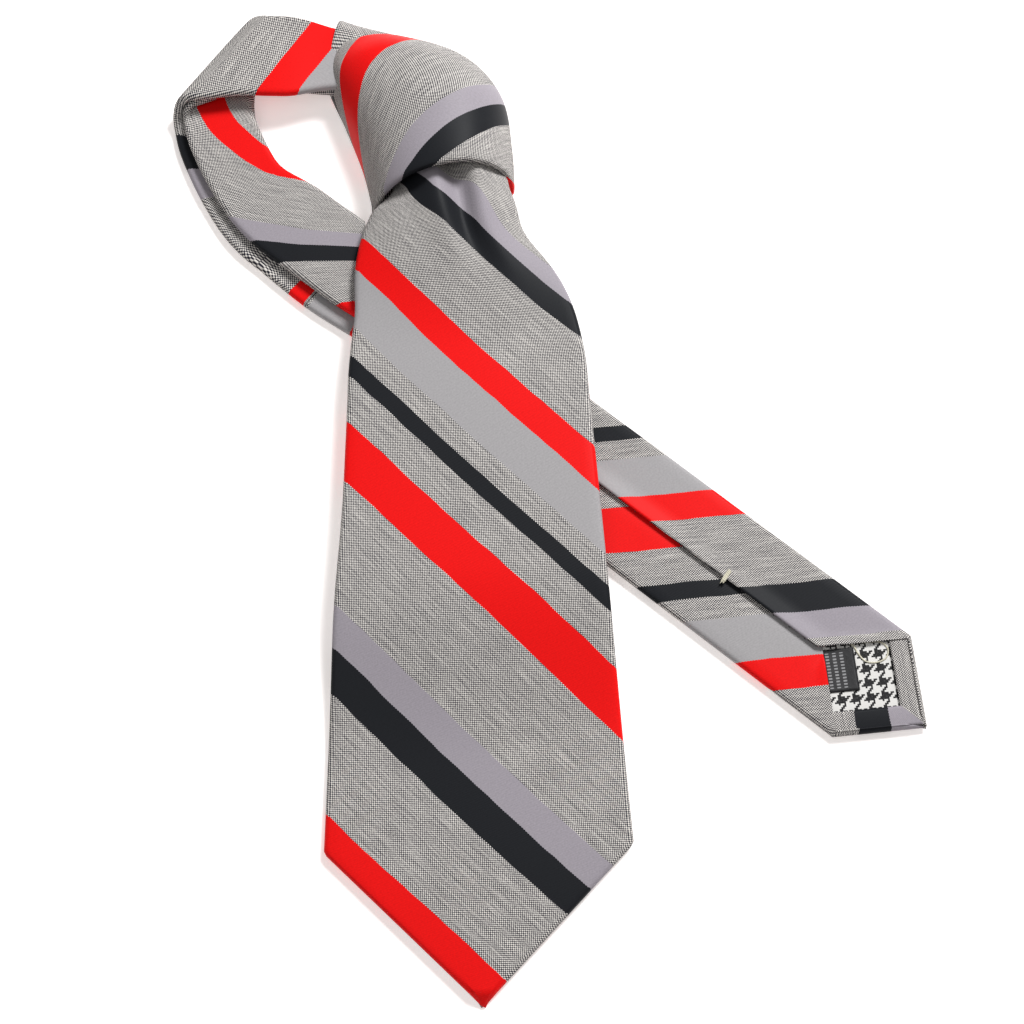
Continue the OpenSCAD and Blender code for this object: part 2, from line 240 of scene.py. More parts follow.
def striped_jacquard():
    """The shell cloth. Its stripes read the stripe map and its yarns the thread map, in decimetres."""
    material = bpy.data.materials.new("striped_cloth")
    material.use_nodes = True
    tree = material.node_tree
    nodes = tree.nodes
    links = tree.links
    do = sum_nodes(tree)
    stripe_map = nodes.new("ShaderNodeUVMap")
    stripe_map.uv_map = "stripe"
    stripe = nodes.new("ShaderNodeSeparateXYZ")
    links.new(stripe_map.outputs["UV"], stripe.inputs[0])
    thread_map = nodes.new("ShaderNodeUVMap")
    thread_map.uv_map = "thread"
    thread = nodes.new("ShaderNodeSeparateXYZ")
    links.new(thread_map.outputs["UV"], thread.inputs[0])
    weft = do("MULTIPLY", thread.outputs[0], 100)
    warp = do("MULTIPLY", thread.outputs[1], 100)

    # Stripe edges step from yarn to yarn
    step = do("MULTIPLY", do("PINGPONG", warp, 0.42), 0.7)
    drift = nodes.new("ShaderNodeTexNoise")
    drift.inputs["Scale"].default_value = 9
    links.new(thread_map.outputs["UV"], drift.inputs["Vector"])
    wander = do("MULTIPLY", do("SUBTRACT", drift.outputs["Fac"], 0.5), 1.2)
    phase = do("ADD", do("ADD", do("MULTIPLY", stripe.outputs[0], 100), step), wander)
    turn = do("FRACT", do("DIVIDE", phase, STRIPE_REPEAT))

    def bands(values):
        ramp = nodes.new("ShaderNodeValToRGB")
        ramp.color_ramp.interpolation = "CONSTANT"
        stops = ramp.color_ramp.elements
        while len(stops) < len(STRIPES):
            stops.new(0.5)
        for stop, (start, finish) in zip(stops, STRIPES):
            stop.position = start / STRIPE_REPEAT
            stop.color = (*values(finish), 1)
        links.new(turn, ramp.inputs["Fac"])
        return ramp.outputs["Color"]

    satin_colour = bands(lambda finish: SATINS[finish])
    rough_band = bands(lambda finish: (1, 1, 1) if finish == "tweed" else (0, 0, 0))

    # Basket weave: light and dark floats in a small check
    pitch = 0.4
    ends = do("SINE", do("MULTIPLY", weft, math.pi / pitch))
    picks = do("SINE", do("MULTIPLY", warp, math.pi / pitch))
    check = do("MULTIPLY", ends, picks)
    flecks = nodes.new("ShaderNodeTexNoise")
    flecks.inputs["Scale"].default_value = 1
    flecks.inputs["Detail"].default_value = 3
    fleck_place = nodes.new("ShaderNodeCombineXYZ")
    links.new(do("MULTIPLY", weft, 2.1), fleck_place.inputs[0])
    links.new(do("MULTIPLY", warp, 0.08), fleck_place.inputs[1])
    links.new(fleck_place.outputs[0], flecks.inputs["Vector"])
    slub = do("SUBTRACT", flecks.outputs["Fac"], 0.5)
    grain = nodes.new("ShaderNodeTexNoise")
    grain.inputs["Scale"].default_value = 160
    grain.inputs["Detail"].default_value = 2
    links.new(thread_map.outputs["UV"], grain.inputs["Vector"])
    speckle = do("SUBTRACT", grain.outputs["Fac"], 0.5)
    shade = do("ADD", do("MULTIPLY", check, 1.6),
               do("ADD", do("MULTIPLY", slub, 1.7), do("MULTIPLY", speckle, 1.2)))
    float_ramp = nodes.new("ShaderNodeValToRGB")
    float_stops = float_ramp.color_ramp.elements
    float_stops[0].position = 0.18
    float_stops[0].color = (0.018, 0.018, 0.03, 1)
    float_stops[1].position = 0.85
    float_stops[1].color = (0.72, 0.69, 0.65, 1)
    middle = float_stops.new(0.5)
    middle.color = (0.14, 0.132, 0.134, 1)
    links.new(do("ADD", do("MULTIPLY", shade, 0.5), 0.52), float_ramp.inputs["Fac"])

    # Satin: fine slanted floats and a soft uneven lustre
    ribs = do("SINE", do("MULTIPLY", do("ADD", weft, do("MULTIPLY", warp, 0.5)), 2 * math.pi / 0.55))
    satin_value = do("ADD", 1.0, do("ADD", do("MULTIPLY", ribs, 0.045), do("MULTIPLY", speckle, 0.35)))
    satin = nodes.new("ShaderNodeMix")
    satin.data_type = "RGBA"
    satin.blend_type = "MULTIPLY"
    satin.inputs[0].default_value = 1
    links.new(satin_colour, satin.inputs[6])
    links.new(satin_value, satin.inputs[7])

    colour = nodes.new("ShaderNodeMix")
    colour.data_type = "RGBA"
    links.new(rough_band, colour.inputs[0])
    links.new(satin.outputs[2], colour.inputs[6])
    links.new(float_ramp.outputs["Color"], colour.inputs[7])

    shader = nodes["Principled BSDF"]
    shader.inputs["Specular IOR Level"].default_value = 0.055
    shader.inputs["Sheen Weight"].default_value = 0.0
    shader.inputs["Sheen Roughness"].default_value = 0.4
    links.new(colour.outputs[2], shader.inputs["Base Color"])
    links.new(do("ADD", do("MULTIPLY", rough_band, 0.34), 0.44), shader.inputs["Roughness"])
    relief = do("ADD", do("MULTIPLY", do("MULTIPLY", check, rough_band), 1.0),
                do("MULTIPLY", ribs, 0.12))
    bump = nodes.new("ShaderNodeBump")
    bump.inputs["Strength"].default_value = 0.45
    bump.inputs["Distance"].default_value = 0.00012
    links.new(relief, bump.inputs["Height"])
    links.new(bump.outputs["Normal"], shader.inputs["Normal"])
    return material


striped_cloth = striped_jacquard()


def lerp(a, b, t):
    return a + (b - a) * t


def ease(t):
    t = max(0.0, min(1.0, t))
    return t * t * (3 - 2 * t)


def section_of_tie(half, thick, left_end, right_end, crown=0.0, over=0.7, under=0.5):
    """Cloth round one section, as (across, lift, cloth) from the left flap's free edge to the right's.
    The face is at +lift and the flaps at -lift; cloth is the way across the unfolded cloth."""
    roll = min(thick / 2, half * 0.42)
    inner = half - roll
    flap, turns, face = 10, 8, 32
    points = []
    for i in range(flap):
        x = lerp(min(left_end, inner), inner, (i / flap) ** 1.4)
        tuck = under * ease(1 - (x - left_end) / 7) if left_end < 3 else -0.25 * ease(1 - (x - left_end) / 5)
        points.append((-x, -roll + tuck, -(2 * half - x)))
    for i in range(turns + 1):
        angle = math.radians(-90 - 180 * i / turns)
        points.append((-inner + roll * math.cos(angle), roll * math.sin(angle),
                       -(half + roll) + 2 * roll * i / turns))
    for i in range(1, face):
        x = lerp(-inner, inner, i / face)
        points.append((x, roll + crown * (1 - (x / half) ** 2), x))
    for i in range(turns + 1):
        angle = math.radians(90 - 180 * i / turns)
        points.append((inner + roll * math.cos(angle), roll * math.sin(angle),
                       half - roll + 2 * roll * i / turns))
    for i in range(flap - 1, -1, -1):
        x = lerp(min(right_end, inner), inner, (i / flap) ** 1.4)
        lift = over * ease(1 - (x - right_end) / 6)
        points.append((x, -roll - lift, 2 * half - x))
    return points


def lay_cloth(name, rows, line, material=striped_cloth, thick=0.5, offset=-1.0, gather=1.0):
    """A grid of cloth whose rows are given by line(t), a list of (layout point, stripe, along)."""
    lines = [line(j / rows) for j in range(rows + 1)]
    columns = len(lines[0]) - 1
    mesh = bpy.data.meshes.new(name)
    bm = bmesh.new()
    stripe = bm.loops.layers.uv.new("stripe")
    thread = bm.loops.layers.uv.new("thread")
    bmesh.ops.create_grid(bm, x_segments=columns, y_segments=rows, size=0.5)
    woven = {}
    for vert in bm.verts:
        column = round((vert.co.x + 0.5) * columns)
        row = round((vert.co.y + 0.5) * rows)
        point, across, along = lines[row][column]
        woven[vert] = (across, along)
        vert.co = at(*point)
    yarn = 0.01 / math.sqrt(2)
    for face in bm.faces:
        face.smooth = True
        for loop in face.loops:
            across, along = woven[loop.vert]
            loop[stripe].uv = (across * 0.01, along * 0.01)
            loop[thread].uv = (across * yarn * gather, along * yarn)
    bmesh.ops.remove_doubles(bm, verts=bm.verts, dist=0.00002)
    bmesh.ops.recalc_face_normals(bm, faces=bm.faces)
    bm.to_mesh(mesh)
    bm.free()
    mesh.materials.append(material)
    piece = bpy.data.objects.new(name, mesh)
    bpy.context.scene.collection.objects.link(piece)
    if thick:
        wall = piece.modifiers.new("cloth", "SOLIDIFY")
        wall.thickness = thick * MM
        wall.offset = offset
        wall.use_even_offset = False
    return piece


BLADE_W = 92
BLADE_T = 3.4
BLADE_RISE = blade_hi[2] / MM - BLADE_T
SHOULDER_Y = 190
MOUTH_Y = 262
THROAT_END = 286
FRONT_SEAM_Y = 88


def blade_half(y):
    """Half the width of the front blade, y millimetres from its point."""
    hips = BLADE_W / 2
    shoulder = hips * 0.85
    if y < hips:
        return y
    if y < SHOULDER_Y:
        return lerp(hips, shoulder, (y - hips) / (SHOULDER_Y - hips))
    if y < MOUTH_Y:
        return lerp(shoulder, 21, ((y - SHOULDER_Y) / (MOUTH_Y - SHOULDER_Y)) ** 1.9)
    return lerp(21, 16.5, ease((y - MOUTH_Y) / 16))


def blade_lean(y):
    return -3.5 * ease((y - 215) / 35)


def blade_shift(y):
    """The blade lies a little to the right of its centre line and comes back to it at the knot."""
    return 1.3 * (1 - ease((y - 200) / 50))


def blade_under(y):
    """Height of the underside, which climbs from the table over the tail."""
    return BLADE_RISE * ease((y - 72) / 60)


def blade_drape(x, y):
    """Soft waves of the blade, its arch towards the knot, and the folds of the dimple."""
    wave = noise.noise(Vector((x * 0.02, y * 0.014, 3.0))) * 0.7 * ease(y / 60)
    half = max(blade_half(y), 1)
    gathered = ease((y - 205) / 55)
    arch = gathered * 8.5 * (1 - (x / half) ** 2)
    fold = ease((y - 222) / 38)
    slant = x - 0.22 * (262 - y)
    dimple = -4.4 * math.exp(-((slant - 3.4) / 4.2) ** 2) + 0.8 * math.exp(-((slant + 4.5) / 5) ** 2)
    dimple += 1.8 * math.exp(-((slant - 11) / 4.6) ** 2) - 1.0 * math.exp(-((slant + 13) / 4.5) ** 2)
    return wave + arch + fold * dimple


def front_line(t):
    y = lerp(0.3, THROAT_END, t ** 1.15)
    half = blade_half(y)
    roll = min(BLADE_T / 2, half * 0.42)
    free = max(-1.2, min(FRONT_SEAM_Y - y, half - roll))
    middle = blade_under(y) + roll
    taper = lerp(BLADE_W / 2, 38, ease((y - 46) / 200)) / max(half, 1) if y > 46 else 1.0
    line = []
    for x, lift, cloth in section_of_tie(half, BLADE_T, free, free, crown=0.35, over=-0.1, under=0.3):
        z = middle + lift + blade_drape(x, y)
        spread = cloth * taper
        pleat = max(0, min(y, 266) - 232) ** 2 / 60 * (1 - ease((x + 6) / 18))
        pinch = 2.9 * math.exp(-((y - 245) / 10) ** 2) * max(0, x / half)
        waist = 1.5 * ease((y - 110) / 50) * (1 - ease((y - 215) / 20))
        pinch -= (3.5 * ease((y - 253) / 8) + waist) * max(0, -x / half)
        pleat += 1.5 * ease((y - 100) / 60) - 1.5 * (1 - ease((y - 15) / 35))
        pleat += 7 * ease((y - 200) / 28) * (1 - ease((y - 240) / 20)) * max(0, x / half) ** 2
        shift = blade_shift(y)
        spot = (x - pinch + blade_lean(y) + shift, y - shift, max(z, 0.02))
        line.append((spot, spread + y + pleat, y - spread))
    return line


front_cloth = lay_cloth("front_blade_cloth", 170, front_line)
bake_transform(front_cloth)
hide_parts("front_blade_shell", "knot_throat")


# ---- Point of the front blade: hem, tipping and hem stitches
# The two sloping edges of the point are turned under as a mitred hem, and a satin tipping in a small
# houndstooth lines the opening below the flaps. A row of slanted hand stitches holds the two together.
def hounds_tooth():
    """Satin lining in a black and white houndstooth: four light and four dark ends in a 2/2 twill."""
    material = bpy.data.materials.new("check_lining")
    material.use_nodes = True
    tree = material.node_tree
    links = tree.links
    do = sum_nodes(tree)
    thread_map = tree.nodes.new("ShaderNodeUVMap")
    thread_map.uv_map = "thread"
    split = tree.nodes.new("ShaderNodeSeparateXYZ")
    links.new(thread_map.outputs["UV"], split.inputs[0])
    yarn_width = 0.56
    end = do("FLOOR", do("DIVIDE", do("ADD", do("MULTIPLY", split.outputs[0], 100), 400), yarn_width))
    pick = do("FLOOR", do("DIVIDE", do("ADD", do("MULTIPLY", split.outputs[1], 100), 400), yarn_width))
    light_end = do("LESS_THAN", do("MODULO", end, 8), 3.5)
    light_pick = do("LESS_THAN", do("MODULO", pick, 8), 3.5)
    end_on_top = do("LESS_THAN", do("MODULO", do("ADD", end, pick), 4), 1.5)
    light = do("ADD", do("MULTIPLY", end_on_top, light_end),
               do("MULTIPLY", do("SUBTRACT", 1.0, end_on_top), light_pick))
    grain = tree.nodes.new("ShaderNodeTexNoise")
    grain.inputs["Scale"].default_value = 220
    links.new(thread_map.outputs["UV"], grain.inputs["Vector"])
    tone = do("ADD", do("MULTIPLY", light, 0.82),
              do("MULTIPLY", do("SUBTRACT", grain.outputs["Fac"], 0.5), 0.25))
    ramp = tree.nodes.new("ShaderNodeValToRGB")
    stops = ramp.color_ramp.elements
    stops[0].position = 0.0
    stops[0].color = (0.006, 0.006, 0.007, 1)
    stops[1].position = 0.8
    stops[1].color = (0.66, 0.65, 0.63, 1)
    links.new(tone, ramp.inputs["Fac"])
    shader = tree.nodes["Principled BSDF"]
    shader.inputs["Roughness"].default_value = 0.5
    shader.inputs["Specular IOR Level"].default_value = 0.25
    links.new(ramp.outputs["Color"], shader.inputs["Base Color"])
    diagonal = do("ADD", split.outputs[0], split.outputs[1])
    rows = do("SINE", do("MULTIPLY", diagonal, 200 * math.pi / yarn_width))
    bump = tree.nodes.new("ShaderNodeBump")
    bump.inputs["Strength"].default_value = 0.35
    bump.inputs["Distance"].default_value = 0.0001
    links.new(rows, bump.inputs["Height"])
    links.new(bump.outputs["Normal"], shader.inputs["Normal"])
    return material


check_lining = hounds_tooth()


def hem_line(reach, width, height, put, phase):
    """Rows of a mitred hem that follows both edges of a point, from the left hip to the right."""
    inset = width / math.sqrt(2)

    def line(t):
        edge = reach * (2 * t - 1)
        near = abs(edge)
        far = near * (reach - inset) / reach
        side = math.copysign(1, edge) if edge else 0
        points = []
        for i in range(9):
            s = i / 8
            x = side * lerp(max(near - 0.5, 0), far, s)
            y = lerp(near + 0.9, far + 2 * inset, s)
            lift = height + 0.12 * math.sin(math.pi * s)
            points.append((put(x, y, lift), *phase(x, y)))
        return points
    return line


def front_put(x, y, lift):
    return (x + blade_shift(y), y - blade_shift(y), blade_under(y) + lift)


front_hem = lay_cloth("front_blade_hem", 96, hem_line(
    45, 14, 0.32, front_put, lambda x, y: (y - abs(x) + 0.4 * x, x + y)), offset=0.0)
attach(front_hem, "front_blade")


def tipping_line(base, peak, widest, height, put):
    """Rows of a diamond of lining behind a point, from near its tip up under the flaps."""
    def line(t):
        y = lerp(base, peak, t)
        half = max(min(y - base, peak - y, widest), 0.02)
        return [(put(half * (i / 10 - 1), y, height), half * (i / 10 - 1) + y,
                 y - half * (i / 10 - 1)) for i in range(21)]
    return line


front_tipping = lay_cloth("front_blade_tipping_cloth", 40, tipping_line(
    3, 93, 43, 1.15, front_put), material=check_lining, thick=0.3, offset=0.0)
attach(front_tipping, "front_blade")
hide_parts("front_blade_tipping")


def sew_stitches(name, stitches, radius, material):
    """Short runs of thread, each a slender spindle from a to b that dives into the cloth at both ends."""
    mesh = bpy.data.meshes.new(name)
    bm = bmesh.new()
    for a, b in stitches:
        run = b - a
        turn = run.to_track_quat("Z", "Y").to_matrix().to_4x4()
        shape = Matrix.Diagonal((radius, radius, run.length / 2, 1))
        bmesh.ops.create_uvsphere(bm, u_segments=8, v_segments=7, radius=1,
                                  matrix=Matrix.Translation((a + b) / 2) @ turn @ shape)
    for face in bm.faces:
        face.smooth = True
    bmesh.ops.recalc_face_normals(bm, faces=bm.faces)
    bm.to_mesh(mesh)
    bm.free()
    mesh.materials.append(material)
    piece = bpy.data.objects.new(name, mesh)
    bpy.context.scene.collection.objects.link(piece)
    return piece


hem_stitches = []
for side in (-1, 1):
    for i in range(7):
        x = side * (5 + 4 * i) + blade_shift(0)
        y = 14 * math.sqrt(2) + 5.4 + 4 * i - blade_shift(0)
        hem_stitches.append((at(x - side * 0.9, y - 0.5, 0.45), at(x + side * 0.3, y + 1.0, 0.9)))
blade_stitches = sew_stitches("front_hem_stitches", hem_stitches, 0.25 * MM, ivory_thread)
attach(blade_stitches, "front_blade")
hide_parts("blade_hem_stitching")


# ---- Interlinings
# A brushed wool cloth gives the blade, the tail and the neck piece their body. It is cut to the
# finished shape, lies loose inside the shell, and is held only by the slip stitching.
def wool_felt():
    material = bpy.data.materials.new("interlining")
    material.use_nodes = True
    nodes = material.node_tree.nodes
    links = material.node_tree.links
    shader = nodes["Principled BSDF"]
    shader.inputs["Roughness"].default_value = 0.9
    shader.inputs["Sheen Weight"].default_value = 0.4
    place = nodes.new("ShaderNodeTexCoord")
    nap = nodes.new("ShaderNodeTexNoise")
    nap.inputs["Scale"].default_value = 900
    nap.inputs["Detail"].default_value = 4
    ramp = nodes.new("ShaderNodeValToRGB")
    ramp.color_ramp.elements[0].color = (0.5, 0.47, 0.4, 1)
    ramp.color_ramp.elements[1].color = (0.75, 0.72, 0.64, 1)
    bump = nodes.new("ShaderNodeBump")
    bump.inputs["Strength"].default_value = 0.5
    bump.inputs["Distance"].default_value = 0.0002
    links.new(place.outputs["Object"], nap.inputs["Vector"])
    links.new(nap.outputs["Fac"], ramp.inputs["Fac"])
    links.new(ramp.outputs["Color"], shader.inputs["Base Color"])
    links.new(nap.outputs["Fac"], bump.inputs["Height"])
    links.new(bump.outputs["Normal"], shader.inputs["Normal"])
    return material


wool = wool_felt()


def flat_line(half_at, height_at, put, columns=12):
    """Rows of a single flat layer: half_at(t) gives half its width and height_at(t) its lift."""
    def line(t):
        half = half_at(t)
        return [(put(t, half * (2 * i / columns - 1), height_at(t)), half * (2 * i / columns - 1), 0)
                for i in range(columns + 1)]
    return line


def front_wool_put(t, x, lift):
    y = lerp(9, 250, t)
    shift = blade_shift(y)
    return (x + blade_lean(y) + shift, y - shift, blade_under(y) + lift + blade_drape(x, y))


front_wool = lay_cloth("front_interlining_wool", 90, flat_line(
    lambda t: blade_half(lerp(9, 250, t)) - 3.2 - 4 * ease(7 * t - 6), lambda t: 1.85, front_wool_put),
    material=wool, thick=0.9, offset=0.0)
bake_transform(front_wool)
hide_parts("front_blade_interlining")


# ---- Keeper loop, label and tack on the back of the front blade
# A narrow tube of shell cloth tacked at both ends holds the tail, a blank woven satin label is sewn
# below it, and a bar tack closes the top of the opening.
def keeper_section(t):
    """A flat tube of shell cloth across the blade, with rounded edges."""
    x = lerp(-27.5, 27.5, t)
    sag = 0.45 * ease((1 - abs(2 * t - 1)) * 6)
    ring = []
    for i in range(25):
        angle = 2 * math.pi * i / 24
        y = 166 + 5.6 * math.copysign(abs(math.cos(angle)) ** 0.5, math.cos(angle))
        z = BLADE_RISE - 0.3 - sag + 0.22 * math.copysign(abs(math.sin(angle)) ** 0.6, math.sin(angle))
        ring.append(((x, y, z), x + 40 * i / 24, x - 40 * i / 24))
    return ring


keeper = lay_cloth("keeper_loop_cloth", 50, keeper_section, thick=0)
keeper_ends = bmesh.new()
keeper_ends.from_mesh(keeper.data)
bmesh.ops.holes_fill(keeper_ends, edges=[e for e in keeper_ends.edges if e.is_boundary], sides=0)
bmesh.ops.recalc_face_normals(keeper_ends, faces=keeper_ends.faces)
keeper_ends.to_mesh(keeper.data)
keeper_ends.free()
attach(keeper, "front_blade")
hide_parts("keeper_loop")


def woven_label(name, ticks):
    """Black satin label cloth: fine ribs, and if asked a few broken pale rows woven in."""
    material = bpy.data.materials.new(name)
    material.use_nodes = True
    tree = material.node_tree
    links = tree.links
    do = sum_nodes(tree)
    thread_map = tree.nodes.new("ShaderNodeUVMap")
    thread_map.uv_map = "thread"
    split = tree.nodes.new("ShaderNodeSeparateXYZ")
    links.new(thread_map.outputs["UV"], split.inputs[0])
    x = do("MULTIPLY", split.outputs[0], 100)
    y = do("MULTIPLY", split.outputs[1], 100)
    ribs = do("SINE", do("MULTIPLY", y, 2 * math.pi / 0.35))
    ramp = tree.nodes.new("ShaderNodeValToRGB")
    ramp.color_ramp.elements[0].color = (0.006, 0.006, 0.007, 1)
    ramp.color_ramp.elements[1].color = (0.02, 0.02, 0.022, 1)
    links.new(do("ADD", do("MULTIPLY", ribs, 0.3), 0.5), ramp.inputs["Fac"])
    base = ramp.outputs["Color"]
    if ticks:
        row_pitch = 2.2
        row_place = do("FRACT", do("DIVIDE", do("SUBTRACT", x, 0.5), row_pitch))
        rows = do("LESS_THAN", do("ABSOLUTE", do("SUBTRACT", row_place, 0.5)), 0.25)
        inside = do("MULTIPLY", do("LESS_THAN", x, 7.1), do("GREATER_THAN", x, 0.6))
        dashes = do("LESS_THAN", do("FRACT", do("DIVIDE", y, 1.0)), 0.5)
        short = do("MULTIPLY", do("GREATER_THAN", y, 1.2), do("LESS_THAN", y, 12.4))
        mark = do("MULTIPLY", do("MULTIPLY", rows, inside), do("MULTIPLY", dashes, short))
        mix = tree.nodes.new("ShaderNodeMix")
        mix.data_type = "RGBA"
        links.new(do("MULTIPLY", mark, 0.8), mix.inputs[0])
        links.new(base, mix.inputs[6])
        mix.inputs[7].default_value = (0.3, 0.3, 0.31, 1)
        base = mix.outputs[2]
    shader = tree.nodes["Principled BSDF"]
    shader.inputs["Roughness"].default_value = 0.45
    shader.inputs["Specular IOR Level"].default_value = 0.3
    links.new(base, shader.inputs["Base Color"])
    bump = tree.nodes.new("ShaderNodeBump")
    bump.inputs["Strength"].default_value = 0.4
    bump.inputs["Distance"].default_value = 0.0001
    links.new(ribs, bump.inputs["Height"])
    links.new(bump.outputs["Normal"], shader.inputs["Normal"])
    return material


plain_label_cloth = woven_label("label_weave", False)
ticked_label_cloth = woven_label("label_weave_ticked", True)


def label_line(t):
    y = lerp(141, 157, t)
    return [((lerp(-21, 21, i / 20), y, BLADE_RISE - 0.28), lerp(-21, 21, i / 20) * math.sqrt(2),
             y * math.sqrt(2)) for i in range(21)]


main_label = lay_cloth("main_label_cloth", 10, label_line, material=plain_label_cloth, thick=0.3, offset=0.0)
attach(main_label, "front_blade")
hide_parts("main_label")


def bar_tack(name, centre, angle, length, width, strands):
    """Bunch of parallel thread bars laid side by side and bound by a few crossing turns."""
    way = Vector((math.cos(angle), math.sin(angle), 0))
    side = Vector((-way.y, way.x, 0))
    stitches = []
    for i in range(strands):
        shift = side * width * (i / (strands - 1) - 0.5)
        skew = way * 0.25 * length * (noise.noise(Vector((i * 1.7, 0.3, 0.9))))
        rise = Vector((0, 0, 0.0001 * (i % 2)))
        stitches.append((centre + shift + skew - way * length / 2 + rise,
                         centre + shift + skew + way * length / 2 + rise))
    for i in range(5):
        spot = centre + way * length * (i / 4 - 0.5) * 0.55 + Vector((0, 0, 0.00012))
        low = spot - side * width * 0.75 - way * 0.0002
        high = spot + side * width * 0.75 + way * 0.0002
        stitches.append((low, high))
    return sew_stitches(name, stitches, 0.2 * MM, ivory_thread)


front_tack = bar_tack("front_tack", at(0, FRONT_SEAM_Y + 3, blade_under(FRONT_SEAM_Y + 3) - 0.02),
                      math.radians(45), 6 * MM, 0.9 * MM, 5)
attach(front_tack, "front_blade")
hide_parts("front_bar_tack")


# ---- Tail
# The narrow end is made like the front blade and lies face down, so its lapped back seam shows. It
# comes down from the knot as a flat strap, folds over on a long diagonal under the front blade, and
# runs out to the right.
STRAP_T = 3.0
TAIL_AXIS_X = -3
TAIL_SEAM_Y = 39
tail_run = (TAIL_TIP[0] - TAIL_AXIS_X) / math.cos(math.radians(TAIL_ANGLE))
tail_end = tail_run + 68


def fold_over(x, y, lift, crease, heading, radius, axis_z, start):
    """A point of flat cloth after a fold along the crease. lift is its distance outside the cloth's
    middle, and start is 1 where the cloth comes in on top and folds under, -1 the other way up."""
    along = Vector((math.cos(heading), math.sin(heading)))
    beyond = Vector((-along.y, along.x))
    spot = Vector((x, y))
    past = (spot - crease).dot(beyond)
    arc = math.pi * radius
    if past <= 0:
        return (x, y, axis_z + start * (radius + lift))
    foot = spot - beyond * past
    if past < arc:
        angle = past / radius
        foot = foot + beyond * (radius + lift) * math.sin(angle)
        return (foot.x, foot.y, axis_z + start * (radius + lift) * math.cos(angle))
    foot = foot - beyond * (past - arc)
    return (foot.x, foot.y, axis_z - start * (radius + lift))


# The crease in the tail's own frame, and half the distance between the two layers' middles
tail_crease = Vector((0, tail_run))
tail_fold_r = 1.65
tail_axis_z = STRAP_T + 0.15


def tail_half(y):
    return min(y, TAIL_W / 2)


def tail_put(x, y, lift):
    """lift is outward through the face, which is underneath until the fold."""
    fx, fy, z = fold_over(x, y, lift, tail_crease, math.radians(65.5), tail_fold_r, tail_axis_z, -1)
    lx, ly = tail_to_layout(fx, fy)
    return (lx, ly, z)


def tail_stripe(x, y, cloth):
    """Stripe phase on the tail: each back flap, the face, and the rolled edges between them."""
    half = tail_half(y)
    right = 302.4 - 1.09 * y
    left = 253.8 - 0.99 * y
    plain = 279.1 + x - y
    if cloth > half:
        mix = ease((y - 14) / 10)
        return lerp(279.1, 324.7 - 1.09 * (x + y), mix)
    if cloth < -half:
        mix = ease((y - 14) / 10)
        return lerp(plain, 123 + 0.99 * (111.6 - x - y), mix)
    face = lerp(left, right, (cloth / half + 1) / 2) if half > 0 else plain
    return lerp(plain, face, ease((y - 20) / 40))


def tail_line(t):
    y = lerp(0.3, tail_end, t ** 1.1)
    half = tail_half(y)
    roll = min(STRAP_T / 2, half * 0.42)
    free_right = max(-1.2, min(TAIL_SEAM_Y + 0.5 - y, half - roll))
    free_left = max(-2.0, min(TAIL_SEAM_Y + 0.5 - y, half - roll))
    line = []
    for x, lift, cloth in section_of_tie(max(half, 0), STRAP_T, free_left, free_right, crown=0.1,
                                         over=1.2 if y > 36 else 0.5, under=0.35):
        if y < tail_run * 0.8:
            lift = min(lift, tail_axis_z - tail_fold_r - 0.02)
        ripple = 0.18 * noise.noise(Vector((x * 0.05, y * 0.03, 7.0)))
        line.append((tail_put(x, y, lift + (ripple if lift < 0 else 0)),
                     tail_stripe(x, y, cloth), y + cloth))
    return line


tail_cloth = lay_cloth("tail_cloth", 190, tail_line)
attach(tail_cloth, "tail")
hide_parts("tail_shell", "tail_turn", "tail_strap")


def tail_back_put(x, y, lift):
    lx, ly = tail_to_layout(x, y)
    return (lx, ly, lift)


def tail_hem_phase(x, y):
    if x > 0:
        return (279.1 + y - x, y + x)
    return (279.1 + x - y, x + y)


tail_hem = lay_cloth("tail_hem", 80, hem_line(19.8, 7.2, 2.72, tail_back_put, tail_hem_phase), offset=0.0)
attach(tail_hem, "tail")

tail_tipping = lay_cloth("tail_tipping_cloth", 40, tipping_line(
    3, 44, 18.2, 1.95, tail_back_put), material=check_lining, thick=0.3, offset=0.0)
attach(tail_tipping, "tail")
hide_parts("tail_tipping")


def tail_wool_put(t, x, lift):
    return tail_put(x, lerp(8, tail_end - 6, t), lift)


tail_wool = lay_cloth("tail_interlining_wool", 110, flat_line(
    lambda t: tail_half(lerp(8, tail_end - 6, t)) - 2.6, lambda t: 0.3, tail_wool_put),
    material=wool, thick=0.7, offset=0.0)
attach(tail_wool, "tail")
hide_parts("tail_interlining", "tail_strap_interlining")


# ---- Care label, tack and seam of the tail
# A blank care label of black woven satin is caught under the flaps, a bar tack closes the seam above
# the opening, and slip stitches in a single silk thread hold the two flaps together.
CARE_W, CARE_L = 10.0, 13.6
care_corner = Vector((-1.0, 39.3))


def care_line(t):
    across = Vector((math.sqrt(0.5), -math.sqrt(0.5)))
    down = Vector((-math.sqrt(0.5), -math.sqrt(0.5)))
    points = []
    for i in range(13):
        a = CARE_W * t
        b = CARE_L * i / 12
        spot = care_corner + across * a + down * b
        lift = 2.25 + 0.22 * ease((a - 6) / 4)
        points.append((tail_back_put(spot.x, spot.y, lift), a * math.sqrt(2), b * math.sqrt(2)))
    return points


care_label = lay_cloth("tail_care_label", 10, care_line, material=ticked_label_cloth, thick=0.25, offset=0.0)
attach(care_label, "tail")
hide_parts("tail_label")

